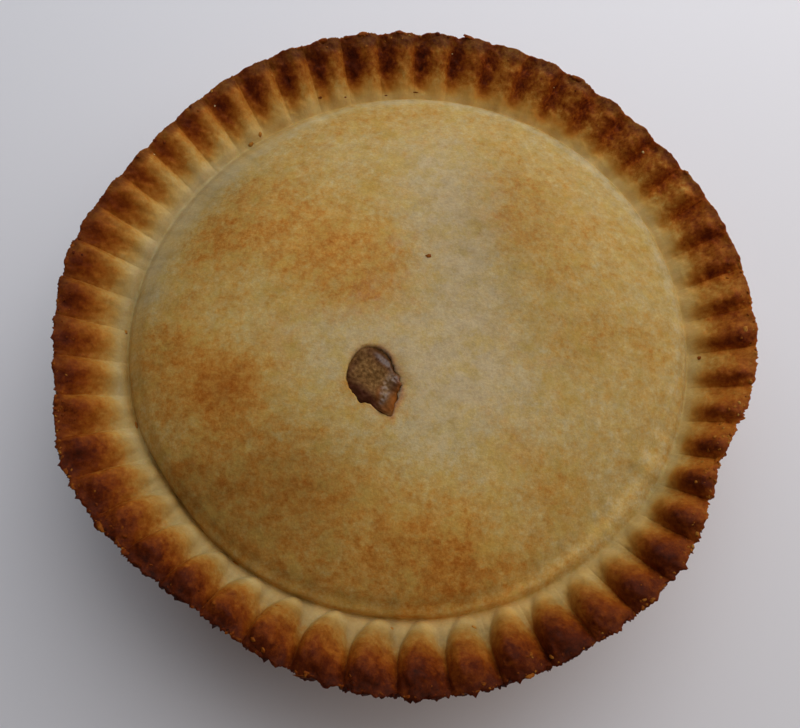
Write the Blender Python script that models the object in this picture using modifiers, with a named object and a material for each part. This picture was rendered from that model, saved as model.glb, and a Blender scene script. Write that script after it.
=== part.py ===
"""A baked meat and potato pie, as it comes out of its baking tin.

The pie is a shortcrust case with a domed lid, pinched together in a brim of fifty crimps
that flares up and outwards. Through the steam hole in the lid shows the filling, which
fills the case from wall to wall. The pie stands on its flat base.

Lengths are written in millimetres times MM, so the scene is in metres. Angles are in
degrees, anticlockwise seen from above, with 0 along +X.
"""

import math

import bmesh
import bpy
import numpy as np

MM = 0.001

# The pie as a whole.
BRIM_RADIUS = 63.9 * MM  # outer edge of the brim
BRIM_HEIGHT = 31.0 * MM  # that edge above the table
LID_TOP = 33.0 * MM
PASTRY = 3.5 * MM  # thickness of the case and of the lid
GAP = 0.3 * MM  # between the filling and the pastry

# The case: its slanting wall between two heights, and the flat base under it.
WALL_TOP_RADIUS = 56.2 * MM
WALL_TOP_HEIGHT = 19.0 * MM
WALL_FOOT_RADIUS = 48.0 * MM
WALL_FOOT_HEIGHT = 3.2 * MM
BASE_RADIUS = 45.2 * MM
BASE_ROUNDING = 0.9 * MM  # height of the rounded edge of the base

# The lid is a dome whose edge drops to a groove just inside the brim.
GROOVE_RADIUS = 53.6 * MM
GROOVE_HEIGHT = 22.3 * MM
SHOULDER_RADIUS = 50.6 * MM
SHOULDER_HEIGHT = 26.4 * MM
DOME_POWER = 2.3  # how late the dome drops towards its shoulder

# The brim, from the inner ends of the crimps to its edge.
CRIMPS = 50
CRIMP_START = 54.4 * MM
CRIMP_START_HEIGHT = 22.9 * MM
CRIMP_HEIGHT = 2.8 * MM
CRIMP_LEAN = 0.5  # how far a crimp swells inwards for each unit that it swells up
CRIMP_SKEW = 1.45  # over 1 moves a crimp's top clockwise
CRIMP_ROUNDNESS = 0.6  # under 1 makes round backs with sharp creases between them
CRIMP_SCALLOP = 0.7 * MM  # how far a crimp bulges past the creases at the edge
FIRST_CREASE = -0.4  # degrees
PITCH = 360.0 / CRIMPS
COLUMNS = 4 * CRIMPS  # mesh columns round the pie: a crease and three more for each crimp

# The brim isn't a true circle: place, width (both in degrees) and height of each swelling
# or flat of its edge.
EDGE_SWELLINGS = (
    (338, 8.5, -3.2 * MM),
    (338, 24, -0.8 * MM),
    (150, 12.5, -2.2 * MM),
    (175, 6, 0.3 * MM),
    (243, 9, -1.4 * MM),
    (44, 10, -1.05 * MM),
    (79, 11, 0.85 * MM),
    (108, 7, 0.3 * MM),
    (198, 7, -0.5 * MM),
    (213, 7, 1.3 * MM),
    (277, 14, 1.0 * MM),
)
# Where the crimps run ahead of an even spacing, or behind it: place, width and lead.
CRIMP_DRIFTS = ((90, 42, 1.1), (155, 28, 1.2), (238, 19, -1.8))
# Where the groove lies further in, and where it is shallow: place, width and amount.
GROOVE_SHIFTS = ((148, 22, -1.5 * MM), (223, 8, -0.8 * MM))
GROOVE_RISES = (
    (322, 20, 1.9 * MM),
    (150, 16, 0.8 * MM),
    (50, 32, 1.6 * MM),
    (255, 26, 1.2 * MM),
)
# The lid's shoulder is drawn in, and so less steep, over these stretches.
SHOULDER_SHIFTS = ((148, 26, -3.6 * MM), (322, 18, -3.0 * MM))
# Swellings and hollows of the lid: x, y, radius and height.
LID_LUMPS = (
    (-22 * MM, 6 * MM, 11 * MM, 0.5 * MM),
    (16 * MM, -26 * MM, 10 * MM, 0.5 * MM),
    (20 * MM, 20 * MM, 13 * MM, 0.4 * MM),
    (6 * MM, 2 * MM, 9 * MM, -0.6 * MM),
    (-20 * MM, -24 * MM, 12 * MM, 0.3 * MM),
)

# The steam hole.
HOLE_CENTRE = (-5.4 * MM, -14.9 * MM)
HOLE_RADIUS = 4.9 * MM  # at the top of the lid
HOLE_FLARE = 0.05  # how much it widens, as a share, over a height equal to the pastry
HOLE_SIDES = 36
# Its torn tail, the flap of lid beside it and its fuller far side: place, width, reach.
HOLE_TEARS = (
    (-60, 16, 1.2 * MM),
    (-63, 7, 1.0 * MM),
    (-97, 8, -0.5 * MM),
    (-140, 18, -0.4 * MM),
    (108, 32, 1.4 * MM),
    (35, 25, -1.0 * MM),
)

# The filling shows in the hole as one piece of meat, nearly level with the lid.
MEAT_TOP = 32.0 * MM
MEAT_ROUNDING = 0.8 * MM
FILLING_COLUMNS = 72


def bump(angle, centre, width):
    """A bell curve round the pie: 1 at the centre, falling off over the width."""
    away = (angle - centre + 180.0) % 360.0 - 180.0
    return np.exp(-0.5 * (away / width) ** 2)


def around(angle, features):
    """The sum of the bell curves of a list of features at each angle."""
    return sum(amount * bump(angle, centre, width) for centre, width, amount in features)


def crimp_back(angle):
    """The rise of a crimp's back, 0 in the creases and 1 on top, on evenly spaced crimps.

    The phase runs clockwise from crease to crease, and the back is a skewed half sine wave
    raised to a power under 1.
    """
    phase = (FIRST_CREASE - angle) / PITCH % 1.0
    return np.sin(math.pi * phase**CRIMP_SKEW) ** CRIMP_ROUNDNESS


def dome_height(radius):
    """The height of the lid between its middle and its shoulder."""
    drop = (radius / SHOULDER_RADIUS) ** DOME_POWER
    return LID_TOP - (LID_TOP - SHOULDER_HEIGHT) * drop


def brim_ring(along, relief, scallop=0.0):
    """A ring of the crust at a share of the way from the crimps' inner ends to the edge."""
    return {
        "radius": CRIMP_START + along * (BRIM_RADIUS - CRIMP_START),
        "height": CRIMP_START_HEIGHT + along * (BRIM_HEIGHT - CRIMP_START_HEIGHT),
        "relief": relief,
        "edge": along,
        "groove": 1.0 - along,
        "scallop": scallop,
    }


def plain_ring(radius, height, **shares):
    """A ring of the crust, with its share of each unevenness."""
    return {"radius": radius, "height": height, **shares}


def crust_rings():
    """The crust's profile, from the middle of the lid over the brim to the base."""
    lid = [plain_ring(radius, dome_height(radius)) for radius in (0.0, 14 * MM, 26 * MM, 36 * MM)]
    lid += [
        plain_ring(44.5 * MM, dome_height(44.5 * MM), shoulder=0.7),
        plain_ring(SHOULDER_RADIUS, SHOULDER_HEIGHT - 0.4 * MM, shoulder=1.0),
        plain_ring(GROOVE_RADIUS - 0.7 * MM, 24.2 * MM, shoulder=0.5, groove=0.6),
        plain_ring(GROOVE_RADIUS, GROOVE_HEIGHT, groove=1.0),
    ]
    brim = [
        brim_ring(0.04, 0.35),
        brim_ring(0.2, 0.85),
        brim_ring(0.45, 1.0),
        brim_ring(0.72, 1.0),
        brim_ring(0.92, 0.75, scallop=0.8),
        brim_ring(1.0, 0.3, scallop=1.0),
    ]
    under = [
        plain_ring(BRIM_RADIUS - 0.5 * MM, BRIM_HEIGHT - 2.2 * MM, edge=1.0, scallop=0.6),
        plain_ring(61.0 * MM, 26.4 * MM, edge=0.7),
        plain_ring(57.8 * MM, 22.6 * MM, edge=0.2),
    ]
    wall = [
        plain_ring(WALL_TOP_RADIUS, WALL_TOP_HEIGHT),
        plain_ring(WALL_FOOT_RADIUS, WALL_FOOT_HEIGHT),
        plain_ring(BASE_RADIUS + 1.6 * MM, BASE_ROUNDING),
        plain_ring(BASE_RADIUS, 0.0),
    ]
    return lid + brim + under + wall


def wall_radius(height):
    """The radius of the case's straight slanting wall at a height."""
    slope = (WALL_TOP_RADIUS - WALL_FOOT_RADIUS) / (WALL_TOP_HEIGHT - WALL_FOOT_HEIGHT)
    return WALL_FOOT_RADIUS + slope * (height - WALL_FOOT_HEIGHT)


def cavity_profile(inset):
    """The profile inside the case, drawn in by an inset: radii with heights, top to base."""
    inner = PASTRY + inset
    across_wall = 1.1 * inner  # the slanting wall is thicker along a level line
    under_lid = [
        (radius, dome_height(radius) - inner) for radius in (0.0, 20 * MM, 34 * MM, 44 * MM)
    ]
    return under_lid + [
        (SHOULDER_RADIUS - 1.4 * MM - inset, GROOVE_HEIGHT - 0.7 * MM - inset),
        (wall_radius(17.0 * MM) - across_wall, 17.0 * MM),
        (wall_radius(5.4 * MM) - across_wall - 1.0 * MM, 5.4 * MM),
        (BASE_RADIUS - across_wall, inner),
    ]


def turned_mesh(name, profile, columns):
    """The closed mesh of a profile turned about Z, its last ring closed by one flat face."""
    mesh = bpy.data.meshes.new(name)
    points = [(radius, 0.0, height) for radius, height in profile]
    mesh.from_pydata(points, [(i, i + 1) for i in range(len(points) - 1)], [])
    turned = bpy.data.objects.new(name, mesh)
    bpy.context.scene.collection.objects.link(turned)
    screw = turned.modifiers.new("Turn", "SCREW")
    screw.steps = screw.render_steps = columns
    screw.use_merge_vertices = True
    screw.merge_threshold = 0.01 * MM
    graph = bpy.context.evaluated_depsgraph_get()
    result = bpy.data.meshes.new_from_object(turned.evaluated_get(graph))
    bpy.data.objects.remove(turned)
    bpy.data.meshes.remove(mesh)
    shape = bmesh.new()
    shape.from_mesh(result)
    bmesh.ops.remove_doubles(shape, verts=shape.verts, dist=0.01 * MM)
    rim = [edge for edge in shape.edges if edge.is_boundary]
    bmesh.ops.holes_fill(shape, edges=rim, sides=columns)
    bmesh.ops.recalc_face_normals(shape, faces=shape.faces)
    shape.to_mesh(result)
    shape.free()
    result.name = name
    return result


def vertex_array(mesh):
    """The mesh's vertices as an array with a row for each."""
    points = np.empty(len(mesh.vertices) * 3)
    mesh.vertices.foreach_get("co", points)
    return points.reshape(-1, 3)


def polar(points):
    """Radius, and angle in degrees, of each point about Z."""
    return np.hypot(points[:, 0], points[:, 1]), np.degrees(np.arctan2(points[:, 1], points[:, 0]))


def lid_lumps(x, y):
    """The height that the lid's swellings and hollows add at each place."""
    return sum(
        height * np.exp(-((x - at_x) ** 2 + (y - at_y) ** 2) / (2 * size**2))
        for at_x, at_y, size, height in LID_LUMPS
    )


def shape_crust(mesh, rings):
    """Moves each vertex of the turned crust by what its own ring takes of each unevenness."""
    points = vertex_array(mesh)
    radius, angle = polar(points)
    ring_radius = np.array([ring["radius"] for ring in rings])
    ring_height = np.array([ring["height"] for ring in rings])
    apart = (radius[:, None] - ring_radius) ** 2 + (points[:, 2:] - ring_height) ** 2
    ring = np.argmin(apart, axis=1)

    def share(key):
        return np.array([entry.get(key, 0.0) for entry in rings])[ring]

    back = crimp_back(angle)
    swell = CRIMP_HEIGHT * share("relief") * back
    turned_to = angle + around(angle, CRIMP_DRIFTS)
    radius = radius - CRIMP_LEAN * swell
    radius += share("edge") * around(turned_to, EDGE_SWELLINGS)
    radius += share("scallop") * CRIMP_SCALLOP * (back - 0.5)
    radius += share("groove") * around(turned_to, GROOVE_SHIFTS)
    radius += share("shoulder") * around(turned_to, SHOULDER_SHIFTS)
    x = radius * np.cos(np.radians(turned_to))
    y = radius * np.sin(np.radians(turned_to))
    height = points[:, 2] + swell
    height += share("groove") * around(turned_to, GROOVE_RISES)
    on_lid = points[:, 2] > SHOULDER_HEIGHT - 0.5 * MM
    height += np.where(on_lid & (radius < SHOULDER_RADIUS), lid_lumps(x, y), 0.0)
    mesh.vertices.foreach_set("co", np.column_stack([x, y, height]).ravel())
    mesh.update()


def place(name, mesh, collection):
    """A new object for the mesh, in the collection."""
    made = bpy.data.objects.new(name, mesh)
    collection.objects.link(made)
    return made


def place_helper(name, mesh, collection, at=(0.0, 0.0, 0.0)):
    """An object that only shapes others: drawn as wires and left out of renders."""
    helper = place(name, mesh, collection)
    helper.location = at
    helper.display_type = "WIRE"
    helper.hide_render = True
    return helper


def place_hole_plug(name, helpers, low, high, clearance):
    """A helper with the outline of the steam hole, less a clearance, between two heights.

    The outline is a circle with a torn tail and a flap, and it widens upwards. The helper's
    origin is on the top of the lid.
    """
    mesh = bpy.data.meshes.new(name)
    shape = bmesh.new()
    bmesh.ops.create_cone(
        shape,
        cap_ends=True,
        segments=HOLE_SIDES,
        radius1=HOLE_RADIUS,
        radius2=HOLE_RADIUS,
        depth=1.0,
    )
    shape.to_mesh(mesh)
    shape.free()
    points = vertex_array(mesh)
    angle = polar(points)[1]
    points[:, 2] = np.where(points[:, 2] > 0, high, low) - LID_TOP
    radius = HOLE_RADIUS + around(angle, HOLE_TEARS)
    radius = radius * (1.0 + HOLE_FLARE * points[:, 2] / PASTRY) - clearance
    points[:, 0] = radius * np.cos(np.radians(angle))
    points[:, 1] = radius * np.sin(np.radians(angle))
    mesh.vertices.foreach_set("co", points.ravel())
    mesh.update()
    return place_helper(name, mesh, helpers, (*HOLE_CENTRE, LID_TOP))


def make_material(name, colour, roughness):
    """A material without metal in it: its colour is red, green and blue."""
    made = bpy.data.materials.new(name)
    made.use_nodes = True
    shader = made.node_tree.nodes["Principled BSDF"]
    shader.inputs["Base Color"].default_value = (*colour, 1.0)
    shader.inputs["Roughness"].default_value = roughness
    shader.inputs["Metallic"].default_value = 0.0
    return made


def boolean(target, tool, operation):
    """A live Boolean modifier on the target."""
    modifier = target.modifiers.new(f"{operation.title()} {tool.name}", "BOOLEAN")
    modifier.operation = operation
    modifier.object = tool
    modifier.solver = "EXACT"


def build_crust(pie, helpers):
    """The case, lid and brim in one piece, hollow for the filling and open at the hole."""
    rings = crust_rings()
    mesh = turned_mesh("crust", [(ring["radius"], ring["height"]) for ring in rings], COLUMNS)
    shape_crust(mesh, rings)
    mesh.shade_smooth()
    crust = place("crust", mesh, pie)
    crust.data.materials.append(make_material("baked_pastry", (0.36, 0.23, 0.09), 0.62))
    cavity = turned_mesh("cavity_cutter", cavity_profile(0.0), FILLING_COLUMNS)
    boolean(crust, place_helper("cavity_cutter", cavity, helpers), "DIFFERENCE")
    low = LID_TOP - 2 * PASTRY
    hole = place_hole_plug("hole_cutter", helpers, low, LID_TOP + PASTRY, clearance=0.0)
    boolean(crust, hole, "DIFFERENCE")


def build_filling(pie, helpers):
    """The filling, out to the case on all sides, with the piece of meat under the hole."""
    mesh = turned_mesh("filling", cavity_profile(GAP), FILLING_COLUMNS)
    filling = place("filling", mesh, pie)
    filling.data.materials.append(make_material("meat_and_gravy", (0.13, 0.06, 0.025), 0.3))
    meat = place_hole_plug("meat_piece", helpers, MEAT_TOP - 2 * PASTRY, MEAT_TOP, clearance=GAP)
    edge = meat.modifiers.new("Rounded top", "BEVEL")
    edge.width = MEAT_ROUNDING
    edge.segments = 2
    edge.limit_method = "ANGLE"
    boolean(filling, meat, "UNION")


def new_collection(name):
    """A collection in the scene."""
    made = bpy.data.collections.new(name)
    bpy.context.scene.collection.children.link(made)
    return made


def main():
    for old in list(bpy.data.objects):
        bpy.data.objects.remove(old)
    pie = new_collection("meat_and_potato_pie")
    helpers = new_collection("cutters")
    build_crust(pie, helpers)
    build_filling(pie, helpers)


main()
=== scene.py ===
# %% [markdown]
# # A baked meat and potato pie
#
# The pie is a shortcrust case with a domed lid, and its rim is pinched into fifty crimps.
# This lesson dresses a plain solid model of it: the solids come from the CAD, and the
# script lays a much finer surface over each of them. Everything is in metres, with the
# pie standing on z = 0, so each size below is a number of millimetres times MM.

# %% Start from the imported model
import math

import bpy
import numpy as np
from mathutils import Matrix


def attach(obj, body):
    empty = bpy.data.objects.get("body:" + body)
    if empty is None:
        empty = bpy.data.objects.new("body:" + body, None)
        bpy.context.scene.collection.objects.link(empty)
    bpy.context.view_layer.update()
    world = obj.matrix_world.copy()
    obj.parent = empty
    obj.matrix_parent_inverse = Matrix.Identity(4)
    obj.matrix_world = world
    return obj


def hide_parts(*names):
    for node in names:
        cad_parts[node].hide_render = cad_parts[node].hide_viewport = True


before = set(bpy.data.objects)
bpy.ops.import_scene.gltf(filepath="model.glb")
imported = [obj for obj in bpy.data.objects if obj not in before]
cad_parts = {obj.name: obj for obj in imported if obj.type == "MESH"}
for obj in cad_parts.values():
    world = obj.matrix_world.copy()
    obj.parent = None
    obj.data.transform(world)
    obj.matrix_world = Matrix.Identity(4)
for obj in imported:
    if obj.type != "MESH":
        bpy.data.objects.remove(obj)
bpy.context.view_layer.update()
MM = 0.001
print("solids:", ", ".join(sorted(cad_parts)))

# %% [markdown]
# ## The pie's sizes
#
# The script can't read the CAD source, so it repeats the sizes that the solids were made
# from. Keeping the same names makes it easy to see that both describe one pie. Angles are
# in degrees, anticlockwise seen from above, with 0 along +X. Each row of a list such as
# EDGE_SWELLINGS is one dent or swelling: the angle of its middle, its width and its size.

# %% The sizes of the case, lid and brim
BRIM_RADIUS = 63.9 * MM
BRIM_HEIGHT = 31.0 * MM
LID_TOP = 33.0 * MM
PASTRY = 3.5 * MM
GAP = 0.3 * MM
WALL_TOP_RADIUS = 56.2 * MM
WALL_TOP_HEIGHT = 19.0 * MM
WALL_FOOT_RADIUS = 48.0 * MM
WALL_FOOT_HEIGHT = 3.2 * MM
BASE_RADIUS = 45.2 * MM
BASE_ROUNDING = 0.9 * MM
GROOVE_RADIUS = 53.6 * MM
GROOVE_HEIGHT = 22.3 * MM
SHOULDER_RADIUS = 50.6 * MM
SHOULDER_HEIGHT = 26.4 * MM
DOME_POWER = 2.3
print("brim", round(2000 * BRIM_RADIUS), "mm across, lid", round(1000 * LID_TOP), "mm high")

# %% The sizes of the crimps and the unevenness of the whole
CRIMPS = 50
PITCH = 360.0 / CRIMPS
FIRST_CREASE = -0.4
CRIMP_START = 54.4 * MM
CRIMP_START_HEIGHT = 22.9 * MM
CRIMP_HEIGHT = 2.8 * MM
CRIMP_LEAN = 0.5
CRIMP_SKEW = 1.45
CRIMP_SCALLOP = 0.7 * MM
EDGE_SWELLINGS = (
    (338, 8.5, -3.2 * MM),
    (338, 24, -0.8 * MM),
    (150, 12.5, -2.2 * MM),
    (175, 6, 0.3 * MM),
    (243, 9, -1.4 * MM),
    (44, 10, -1.05 * MM),
    (79, 11, 0.85 * MM),
    (108, 7, 0.3 * MM),
    (198, 7, -0.5 * MM),
    (213, 7, 1.3 * MM),
    (277, 14, 1.0 * MM),
)
CRIMP_DRIFTS = ((90, 42, 1.1), (155, 28, 1.2), (238, 19, -1.8))
GROOVE_SHIFTS = ((148, 22, -1.5 * MM), (223, 8, -0.8 * MM))
GROOVE_RISES = (
    (322, 20, 1.9 * MM),
    (150, 16, 0.8 * MM),
    (50, 32, 1.6 * MM),
    (255, 26, 1.2 * MM),
)
SHOULDER_SHIFTS = ((148, 26, -3.6 * MM), (322, 18, -3.0 * MM))
LID_LUMPS = (  # x, y, width and height of the swellings and hollows of the lid
    (-22 * MM, 6 * MM, 11 * MM, 0.5 * MM),
    (16 * MM, -26 * MM, 10 * MM, 0.5 * MM),
    (20 * MM, 20 * MM, 13 * MM, 0.4 * MM),
    (6 * MM, 2 * MM, 9 * MM, -0.6 * MM),
    (-20 * MM, -24 * MM, 12 * MM, 0.3 * MM),
)
print(CRIMPS, "crimps,", round(PITCH, 1), "degrees apart")

# %% The sizes of the steam hole and the meat in it
HOLE_CENTRE = (-5.4 * MM, -14.9 * MM)
HOLE_RADIUS = 4.9 * MM
HOLE_FLARE = 0.05
HOLE_TEARS = (
    (-60, 16, 1.2 * MM),
    (-63, 7, 1.0 * MM),
    (-97, 8, -0.5 * MM),
    (-140, 18, -0.4 * MM),
    (108, 32, 1.4 * MM),
    (35, 25, -1.0 * MM),
)
MEAT_TOP = 32.0 * MM
RAGGED_SIDE = ((-20, 45, 0.08), (-110, 25, 0.04))  # where the rim of the hole is torn
SUNK_RIM = 0.3 * MM  # how far the lid sinks towards the hole, mostly at its right
print("steam hole", round(2000 * HOLE_RADIUS, 1), "mm across")

# %% [markdown]
# ## Curves that describe unevenness
#
# Nothing on a hand-made pie is a true circle. Each dent and swelling is a bell curve: a
# place, a width and an amount. Lists of them are easy to read and to change. Finer
# roughness is a sum of waves in random directions, which looks like natural noise and is
# one matrix product for all vertices at once. The seed makes it the same in each run.
# Places round the pie are given as an angle and a radius, so one helper turns them into
# points.

# %% Bell curves and noise
def bell(distance, width):
    """exp(-(distance / width)^2 / 2): 1 at no distance, falling away on both sides."""
    return np.exp(-0.5 * (distance / width) ** 2)


def bump(angle, centre, width):
    """A bell curve of the way round, in degrees, from a centre to an angle."""
    return bell((angle - centre + 180.0) % 360.0 - 180.0, width)


def around(angle, features):
    """The sum of amount times bell curve over (centre, width, amount) features."""
    return sum(amount * bump(angle, centre, width) for centre, width, amount in features)


def ease(value, low, high):
    """0 under low, 1 over high, and 3t^2 - 2t^3 between them."""
    share = np.clip((value - low) / (high - low), 0.0, 1.0)
    return share * share * (3.0 - 2.0 * share)


def waves(points, size, seed, count=48):
    """Noise of about one unit: the sum of cos(k.p + phase) for random waves of one size."""
    draw = np.random.default_rng(seed)
    heading = draw.normal(size=(3, count))
    heading /= np.linalg.norm(heading, axis=0)
    number = 2.0 * math.pi / (size * draw.uniform(0.7, 1.5, count))
    shift = draw.uniform(0.0, 2.0 * math.pi, count)
    return np.cos(points @ (heading * number) + shift).sum(axis=1) * math.sqrt(2.0 / count)


def points_round(radius, angle, height):
    """Points at (radius cos angle, radius sin angle, height), with the angles in degrees."""
    turn = np.radians(angle)
    return np.column_stack([radius * np.cos(turn), radius * np.sin(turn), height + 0.0 * turn])


def eased_through(at, places, values):
    """A curve through the values at their places, cubic between two and never past them.

    The slope at a place is the harmonic mean of the slopes on its two sides, or none where
    the values turn back there.
    """
    width = np.diff(places)
    slope = np.diff(values) / width
    product = slope[:-1] * slope[1:]
    total = np.where(product > 0, slope[:-1] + slope[1:], 1.0)
    tangent = np.concatenate([slope[:1], np.where(product > 0, 2 * product / total, 0), slope[-1:]])
    k = np.clip(np.searchsorted(places, at, side="right") - 1, 0, len(width) - 1)
    u = (at - places[k]) / width[k]
    start = (1 + 2 * u) * (1 - u) ** 2 * values[k] + u * (1 - u) ** 2 * width[k] * tangent[k]
    end = u * u * (3 - 2 * u) * values[k + 1] - u * u * (1 - u) * width[k] * tangent[k + 1]
    return start + end


print("a bell curve at its width:", round(float(bump(10.0, 0.0, 10.0)), 2))

# %% [markdown]
# ## Closed surfaces from rings
#
# Both the crust and the filling are skins through a stack of rings, as a potter turns a
# pot. Grids of one density would waste faces on the plain lid or starve the crimps, so a
# ring may have a whole multiple of its neighbour's points, and a row of triangles joins
# the two. The ends of the stack close in one point.

# %% A skin through rings of points
def row_faces(low, low_start, high, high_start):
    """The faces between two rings with low and high points, the larger a multiple."""
    if low == high:
        here = np.arange(low)
        then = (here + 1) % low
        faces = [low_start + here, high_start + here, high_start + then, low_start + then]
        return [np.column_stack(faces)]
    few, many = min(low, high), max(low, high)
    few_start, many_start = (low_start, high_start) if low < high else (high_start, low_start)
    times = many // few
    here = np.arange(few)
    then = (here + 1) % few
    rows = []
    for step in range(times):
        near = here if step < (times + 1) // 2 else then
        first = many_start + here * times + step
        second = many_start + (here * times + step + 1) % many
        rows.append(np.column_stack([few_start + near, first, second]))
    middle = many_start + here * times + (times + 1) // 2
    rows.append(np.column_stack([few_start + here, middle, few_start + then]))
    return rows if low < high else [row[:, ::-1] for row in rows]


def skin(name, rings, first_pole, last_pole):
    """A closed mesh: first pole, the rings in order with the columns lined up, last pole."""
    counts = [len(ring) for ring in rings]
    starts = 1 + np.concatenate([[0], np.cumsum(counts)])
    points = np.vstack([[first_pole], *rings, [last_pole]])
    here = np.arange(counts[0])
    then = (here + 1) % counts[0]
    faces = [np.column_stack([np.zeros(counts[0], int), 1 + here, 1 + then])]
    for k in range(len(rings) - 1):
        faces += row_faces(counts[k], starts[k], counts[k + 1], starts[k + 1])
    here = np.arange(counts[-1])
    then = (here + 1) % counts[-1]
    end = np.full(counts[-1], len(points) - 1)
    faces.append(np.column_stack([starts[-2] + here, end, starts[-2] + then]))
    mesh = bpy.data.meshes.new(name)
    mesh.from_pydata(points.tolist(), [], [row for part in faces for row in part.tolist()])
    mesh.shade_smooth()
    triangles = sum(len(part) * (part.shape[1] - 2) for part in faces)
    print(name, len(points), "vertices,", triangles, "triangles")
    return mesh


def keep_value(mesh, name, values):
    """A number for each vertex, which the material reads by name."""
    layer = mesh.attributes.new(name, "FLOAT", "POINT")
    layer.data.foreach_set("value", np.asarray(values, np.float32))


joined = sum(len(row) for row in row_faces(4, 0, 12, 4))
print("a ring of 4 points joins a ring of 12 with", joined, "triangles")

# %% [markdown]
# ## The columns round the pie
#
# Each crimp gets thirty columns, closer together at its creases, where the shape turns
# fastest. Coarser rings take every third, sixth or twelfth column, so all rings line up.

# %% Angles of the columns
COLUMNS_EACH = 30
FINE = COLUMNS_EACH * CRIMPS
even_share = np.arange(COLUMNS_EACH) / COLUMNS_EACH
column_share = even_share - 0.5 * np.sin(2 * math.pi * even_share) / (2 * math.pi)
even_angle = FIRST_CREASE + PITCH * (np.arange(CRIMPS)[:, None] + column_share).ravel()
turned_angle = even_angle + around(even_angle, CRIMP_DRIFTS)
print(FINE, "columns, the closest", round(float(np.diff(turned_angle).min()), 3), "degrees apart")

# %% [markdown]
# ## The profile of the crust
#
# Cut through the pie and you see one line: over the lid, down into the groove, out along
# the brim, round its edge, back under it and down the wall to the base. The stations
# below are the CAD's own, with a few more where the eye sees the curve. A smooth curve
# runs through them. With each station goes its share of every unevenness.

# %% Stations along the profile
def dome_height(radius):
    """The height of the lid: a drop that grows with a power of the radius."""
    drop = (radius / SHOULDER_RADIUS) ** DOME_POWER
    return LID_TOP - (LID_TOP - SHOULDER_HEIGHT) * drop


LID_CORE = 36.0 * MM  # inside it the rings run towards the steam hole instead
KEYS = ("radius", "height", "shoulder", "groove", "edge", "scallop", "along")


def station(radius, height, **shares):
    """One row of the profile, in the order of KEYS. Along is under 0 off the brim."""
    return [radius, height] + [shares.get(key, -1.0 if key == "along" else 0.0) for key in KEYS[2:]]


def brim_station(along, scallop=0.0):
    """A station on the straight rise from the crimps' inner ends to the edge."""
    radius = CRIMP_START + along * (BRIM_RADIUS - CRIMP_START)
    height = CRIMP_START_HEIGHT + along * (BRIM_HEIGHT - CRIMP_START_HEIGHT)
    return station(radius, height, groove=1 - along, edge=along, scallop=scallop, along=along)


lid_stations = [
    station(LID_CORE, dome_height(LID_CORE)),
    station(40.0 * MM, dome_height(40.0 * MM), shoulder=0.35),
    station(44.5 * MM, dome_height(44.5 * MM), shoulder=0.7),
    station(48.0 * MM, dome_height(48.0 * MM), shoulder=0.9),
    station(50.2 * MM, dome_height(50.2 * MM) - 0.1 * MM, shoulder=1.0),
    station(51.3 * MM, 25.6 * MM, shoulder=0.9, groove=0.1),
    station(52.9 * MM, 24.0 * MM, shoulder=0.5, groove=0.6),
    station(GROOVE_RADIUS, GROOVE_HEIGHT, groove=1.0, along=-0.1),
]
brim_stations = [brim_station(along) for along in (0.0, 0.1, 0.3, 0.5, 0.7, 0.84)]
brim_stations += [brim_station(0.93, scallop=0.8), brim_station(1.0, scallop=1.0)]
under_stations = [
    station(BRIM_RADIUS + 0.1 * MM, BRIM_HEIGHT - 1.0 * MM, edge=1.0, scallop=0.8, along=1.1),
    station(BRIM_RADIUS - 0.5 * MM, BRIM_HEIGHT - 2.2 * MM, edge=1.0, scallop=0.6, along=1.25),
    station(61.0 * MM, 26.4 * MM, edge=0.7, along=1.7),
    station(57.8 * MM, 22.6 * MM, edge=0.2, along=2.2),
    station(WALL_TOP_RADIUS, WALL_TOP_HEIGHT, along=2.6),
    station(WALL_FOOT_RADIUS, WALL_FOOT_HEIGHT, along=4.5),
    station(BASE_RADIUS + 1.6 * MM, BASE_ROUNDING, along=4.8),
    station(BASE_RADIUS, 0.0, along=5.0),
    station(30.0 * MM, 0.0, along=6.0),
    station(12.0 * MM, 0.0, along=7.0),
]
stations = np.array(lid_stations + brim_stations + under_stations)
print(len(stations), "stations from the lid to the base")

# %% A smooth line through the stations
steps = np.hypot(*np.diff(stations[:, :2], axis=0).T)
travel = np.concatenate([[0.0], np.cumsum(steps)])
GROOVE_AT = travel[len(lid_stations) - 1]
EDGE_AT = travel[len(lid_stations) + len(brim_stations) - 1]


def profile_at(distance):
    """The values of KEYS at distances along the profile, as a dictionary of arrays."""
    return {key: eased_through(distance, travel, stations[:, k]) for k, key in enumerate(KEYS)}


print("groove at", round(1000 * GROOVE_AT, 1), "mm and edge at", round(1000 * EDGE_AT, 1), "mm")

# %% [markdown]
# ## The crimps
#
# A crimp is a rounded finger of dough: a round back between two creases, fading out at
# its inner end. Across goes from -1 to 1 between the creases, and end grows from 0 to 1
# over the inner end. Three formulas share the brim: most fingers are 1 - |across|^a raised
# to a power under 1, times 1 - end^b; crisp ones are 1 - |across|^a - end^b raised to a
# power, which has a U-shaped tip; and soft ones are mostly a low cosine wave. Bell curves
# round the pie blend them. The edge of the brim is then crumbled with noise.

# %% The shape of a crimp
SIDE_LEAN = 0.28  # how far the backs lean clockwise for each unit that they rise
FINGER_LENGTH = 0.62  # how far along the brim the backs reach their full height
CRISP_SHORTER = 0.07
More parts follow.
